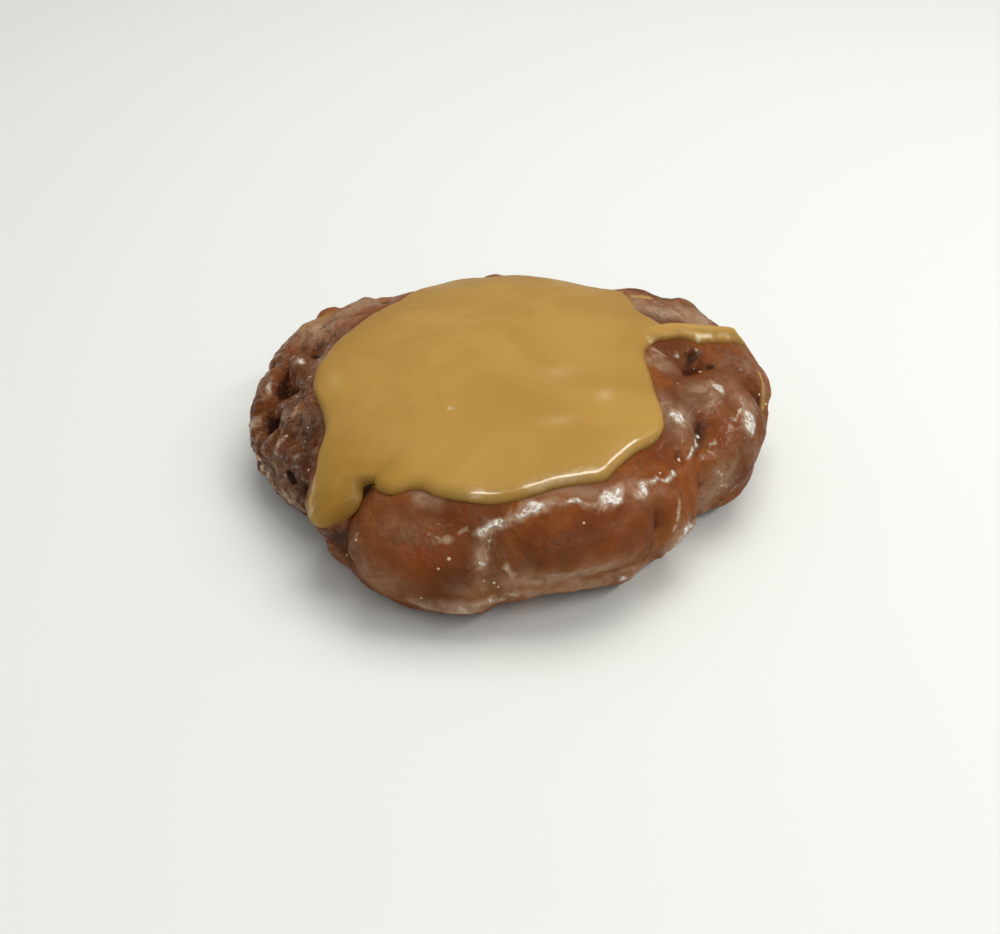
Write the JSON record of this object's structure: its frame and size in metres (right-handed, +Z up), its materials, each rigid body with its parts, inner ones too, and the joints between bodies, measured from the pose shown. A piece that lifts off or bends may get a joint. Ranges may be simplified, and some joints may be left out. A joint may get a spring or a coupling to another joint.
{
  "type": "iced fritter",
  "caption": "Oval fried fritter with a lumpy browned crust, a flat base and a pool of caramel icing that runs over its edges.",
  "frame": {"origin": "middle of the box round the whole fritter, at the level of its flat base", "axes": "+Z up, out of the iced top; +X along the long way, towards the side with the thin strand of icing; -Y towards the smooth front roll"},
  "size_m": [0.1064, 0.096, 0.0318],
  "materials": {
    "fried_crust": "satin",
    "caramel_icing": "gloss"
  },
  "bodies": {
    "root": {"dough": "fried_crust", "icing": "caramel_icing"}
  },
  "joints": []
}
